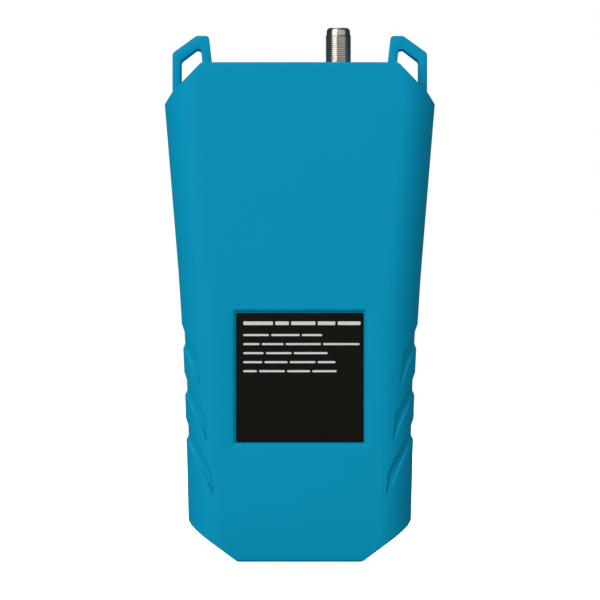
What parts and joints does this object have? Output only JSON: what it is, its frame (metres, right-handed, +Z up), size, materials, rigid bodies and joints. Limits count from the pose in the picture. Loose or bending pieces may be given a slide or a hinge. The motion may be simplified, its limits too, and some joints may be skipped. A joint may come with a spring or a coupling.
{
  "type": "handheld satellite signal meter",
  "caption": "Handheld signal meter with a tapering scalloped grip, wide display head, keypad, threaded antenna socket and moulded strap eyes.",
  "frame": {"origin": "centre of the base, at mid depth", "axes": "+X to the right seen from the back, +Y from the back to the screen, +Z up towards the antenna socket"},
  "size_m": [0.101, 0.044, 0.1997],
  "materials": {
    "blue_abs": "fine satin moulding texture",
    "label_film": "satin film",
    "zinc_steel": "zinc plated",
    "overlay_film": "satin film",
    "tinted_acrylic": "polished, dark tint",
    "foam": "matt foam",
    "display_glass": "polished",
    "white_plastic": "plain",
    "flex_film": "polyimide film",
    "circuit_board": "solder resist",
    "chip_epoxy": "moulded epoxy",
    "ferrite": "ground ferrite",
    "capacitor_can": "bare can",
    "tinned_steel": "tin plated",
    "nickel": "bright nickel plate",
    "brass_contact": "gold flashed",
    "black_plastic": "plain",
    "cell_steel": "nickel plated",
    "shrink_film": "heat-shrunk film",
    "lead_rubber": "cable jacket",
    "silicone": "moulded silicone",
    "clear_acrylic": "clear",
    "key_grey": "satin",
    "key_blue": "satin"
  },
  "bodies": {
    "case": {"rear_shell": "blue_abs", "front_shell": "blue_abs", "rating_label": "label_film", "case_screws": "zinc_steel", "front_overlay": "overlay_film", "display_lens": "tinted_acrylic", "display_gasket": "foam", "display_panel": "display_glass", "display_backlight": "white_plastic", "display_connector": "white_plastic", "display_cable": "flex_film", "main_board": "circuit_board", "board_screws": "zinc_steel", "processor_chip": "chip_epoxy", "memory_chips": "chip_epoxy", "power_inductors": "ferrite", "board_capacitors": "capacitor_can", "buzzer": "chip_epoxy", "tuner_can": "tinned_steel", "tuner_lid": "tinned_steel", "antenna_socket": "nickel", "socket_insulator": "white_plastic", "socket_contact": "brass_contact", "power_jack": "black_plastic", "jack_pin": "nickel", "switch_body": "tinned_steel", "battery_cells": "cell_steel", "battery_wrap": "shrink_film", "battery_pad": "foam", "battery_board": "circuit_board", "battery_lead": "lead_rubber", "battery_socket": "white_plastic", "keypad_mat": "silicone", "light_pipes": "clear_acrylic", "indicator_leds": "white_plastic"},
    "key_f1": {"key_f1": "key_blue"},
    "key_f2": {"key_f2": "key_blue"},
    "key_f3": {"key_f3": "key_blue"},
    "key_f4": {"key_f4": "key_blue"},
    "key_up": {"key_up": "key_grey"},
    "key_down": {"key_down": "key_grey"},
    "key_left": {"key_left": "key_grey"},
    "key_right": {"key_right": "key_grey"},
    "key_ok": {"key_ok": "key_blue"},
    "key_menu": {"key_menu": "key_grey"},
    "key_exit": {"key_exit": "key_grey"},
    "key_1": {"key_1": "key_grey"},
    "key_2": {"key_2": "key_grey"},
    "key_3": {"key_3": "key_grey"},
    "key_4": {"key_4": "key_grey"},
    "key_5": {"key_5": "key_grey"},
    "key_6": {"key_6": "key_grey"},
    "key_7": {"key_7": "key_grey"},
    "key_8": {"key_8": "key_grey"},
    "key_9": {"key_9": "key_grey"},
    "key_star": {"key_star": "key_grey"},
    "key_0": {"key_0": "key_grey"},
    "key_hash": {"key_hash": "key_grey"},
    "slider": {"switch_slider": "black_plastic"}
  },
  "joints": [
    {"name": "key_f1_press", "type": "slide", "parent": "case", "child": "key_f1", "axis": [0, -1, 0], "range_m": [0, 0.0008], "stiffness_N_per_m": 900},
    {"name": "key_f2_press", "type": "slide", "parent": "case", "child": "key_f2", "axis": [0, -1, 0], "range_m": [0, 0.0008], "stiffness_N_per_m": 900},
    {"name": "key_f3_press", "type": "slide", "parent": "case", "child": "key_f3", "axis": [0, -1, 0], "range_m": [0, 0.0008], "stiffness_N_per_m": 900},
    {"name": "key_f4_press", "type": "slide", "parent": "case", "child": "key_f4", "axis": [0, -1, 0], "range_m": [0, 0.0008], "stiffness_N_per_m": 900},
    {"name": "key_up_press", "type": "slide", "parent": "case", "child": "key_up", "axis": [0, -1, 0], "range_m": [0, 0.0008], "stiffness_N_per_m": 900},
    {"name": "key_down_press", "type": "slide", "parent": "case", "child": "key_down", "axis": [0, -1, 0], "range_m": [0, 0.0008], "stiffness_N_per_m": 900},
    {"name": "key_left_press", "type": "slide", "parent": "case", "child": "key_left", "axis": [0, -1, 0], "range_m": [0, 0.0008], "stiffness_N_per_m": 900},
    {"name": "key_right_press", "type": "slide", "parent": "case", "child": "key_right", "axis": [0, -1, 0], "range_m": [0, 0.0008], "stiffness_N_per_m": 900},
    {"name": "key_ok_press", "type": "slide", "parent": "case", "child": "key_ok", "axis": [0, -1, 0], "range_m": [0, 0.0008], "stiffness_N_per_m": 900},
    {"name": "key_menu_press", "type": "slide", "parent": "case", "child": "key_menu", "axis": [0, -1, 0], "range_m": [0, 0.0008], "stiffness_N_per_m": 900},
    {"name": "key_exit_press", "type": "slide", "parent": "case", "child": "key_exit", "axis": [0, -1, 0], "range_m": [0, 0.0008], "stiffness_N_per_m": 900},
    {"name": "key_1_press", "type": "slide", "parent": "case", "child": "key_1", "axis": [0, -1, 0], "range_m": [0, 0.0008], "stiffness_N_per_m": 900},
    {"name": "key_2_press", "type": "slide", "parent": "case", "child": "key_2", "axis": [0, -1, 0], "range_m": [0, 0.0008], "stiffness_N_per_m": 900},
    {"name": "key_3_press", "type": "slide", "parent": "case", "child": "key_3", "axis": [0, -1, 0], "range_m": [0, 0.0008], "stiffness_N_per_m": 900},
    {"name": "key_4_press", "type": "slide", "parent": "case", "child": "key_4", "axis": [0, -1, 0], "range_m": [0, 0.0008], "stiffness_N_per_m": 900},
    {"name": "key_5_press", "type": "slide", "parent": "case", "child": "key_5", "axis": [0, -1, 0], "range_m": [0, 0.0008], "stiffness_N_per_m": 900},
    {"name": "key_6_press", "type": "slide", "parent": "case", "child": "key_6", "axis": [0, -1, 0], "range_m": [0, 0.0008], "stiffness_N_per_m": 900},
    {"name": "key_7_press", "type": "slide", "parent": "case", "child": "key_7", "axis": [0, -1, 0], "range_m": [0, 0.0008], "stiffness_N_per_m": 900},
    {"name": "key_8_press", "type": "slide", "parent": "case", "child": "key_8", "axis": [0, -1, 0], "range_m": [0, 0.0008], "stiffness_N_per_m": 900},
    {"name": "key_9_press", "type": "slide", "parent": "case", "child": "key_9", "axis": [0, -1, 0], "range_m": [0, 0.0008], "stiffness_N_per_m": 900},
    {"name": "key_star_press", "type": "slide", "parent": "case", "child": "key_star", "axis": [0, -1, 0], "range_m": [0, 0.0008], "stiffness_N_per_m": 900},
    {"name": "key_0_press", "type": "slide", "parent": "case", "child": "key_0", "axis": [0, -1, 0], "range_m": [0, 0.0008], "stiffness_N_per_m": 900},
    {"name": "key_hash_press", "type": "slide", "parent": "case", "child": "key_hash", "axis": [0, -1, 0], "range_m": [0, 0.0008], "stiffness_N_per_m": 900},
    {"name": "switch_slide", "type": "slide", "parent": "case", "child": "slider", "axis": [1, 0, 0], "range_m": [0, 0.0042]}
  ]
}
